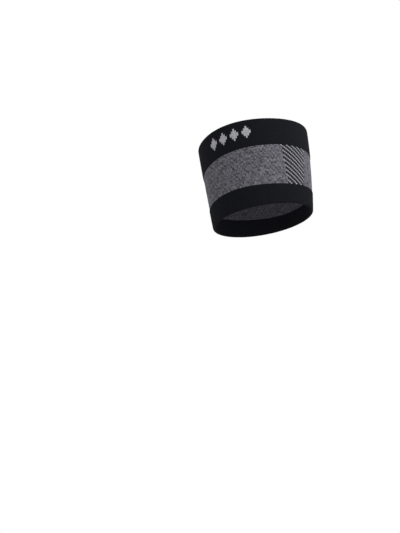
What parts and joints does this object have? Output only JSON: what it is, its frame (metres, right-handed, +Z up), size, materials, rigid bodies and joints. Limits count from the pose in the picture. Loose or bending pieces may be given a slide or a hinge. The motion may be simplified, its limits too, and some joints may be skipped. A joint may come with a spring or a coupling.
{
  "type": "tennis elbow band",
  "caption": "Seamless knitted compression tube for the upper forearm, with doubled black cuffs, a heather-grey zone and a tapered panel of diagonal ribs.",
  "frame": {"origin": "on the forearm's axis, in the middle of the band's wrist-side mouth, level with the wrist rim", "axes": "+Z up the forearm to the elbow end, -Y out of the band's front, +X across it towards the striped panel"},
  "size_m": [0.0998, 0.0966, 0.0777],
  "materials": {
    "black_yarn": "matte black doubled knit",
    "heather_yarn": "matte heather-grey compression knit",
    "stripe_yarn": "light grey ribs on a near-black ground"
  },
  "bodies": {
    "root": {"upper_cuff": "black_yarn", "compression_knit": "heather_yarn", "striped_panel": "stripe_yarn", "lower_cuff": "black_yarn"}
  },
  "joints": []
}
